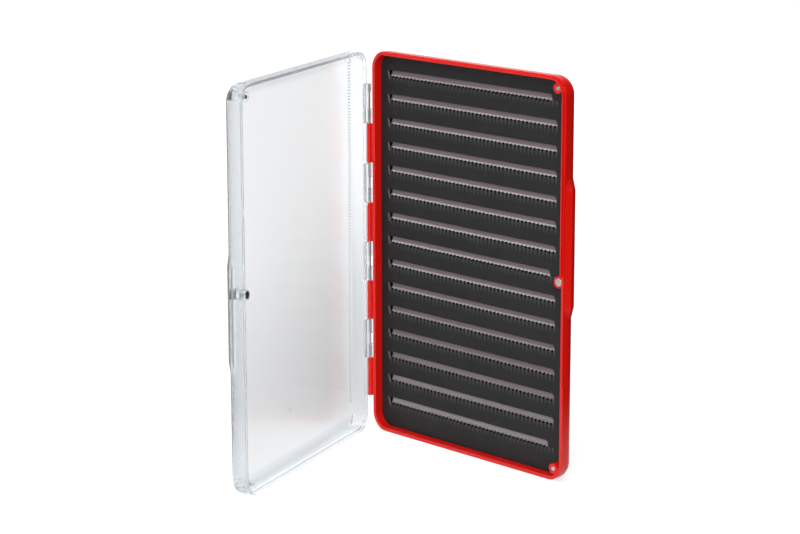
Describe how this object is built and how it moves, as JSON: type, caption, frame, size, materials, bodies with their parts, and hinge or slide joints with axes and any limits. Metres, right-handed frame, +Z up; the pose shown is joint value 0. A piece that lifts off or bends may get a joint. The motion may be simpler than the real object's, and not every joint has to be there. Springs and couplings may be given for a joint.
{
  "type": "slim fly box",
  "caption": "Slim fishing fly box: shallow tray with slit foam, clear lid on a long knuckle hinge with a steel pin, held shut by small disc magnets, shown standing open.",
  "frame": {"origin": "the point on the floor under the centre of the whole open box's bounding box", "axes": "+Z up along the hinge, +X from the hinge towards the tray's free side, -Y out of the tray's open face"},
  "size_m": [0.141, 0.136, 0.195],
  "materials": {
    "red_plastic": "moulded, satin gloss",
    "clear_plastic": "clear, polished",
    "pin_steel": "drawn wire",
    "foam": "closed-cell foam with a smooth skin",
    "tape": "double-sided tape",
    "magnet_nickel": "nickel plated"
  },
  "bodies": {
    "tray": {"base_tray": "red_plastic", "hinge_pin": "pin_steel", "slit_foam": "foam", "foam_tape": "tape", "tray_magnet_top": "magnet_nickel", "tray_magnet_middle": "magnet_nickel", "tray_magnet_bottom": "magnet_nickel"},
    "lid": {"clear_lid": "clear_plastic", "lid_magnet_top": "magnet_nickel", "lid_magnet_middle": "magnet_nickel", "lid_magnet_bottom": "magnet_nickel"}
  },
  "joints": [
    {"name": "lid_hinge", "type": "hinge", "parent": "tray", "child": "lid", "pos_m": [-0.06339, 0.05941, 0.0975], "axis": [0, 0, -1], "range_deg": [-69, 111]}
  ]
}
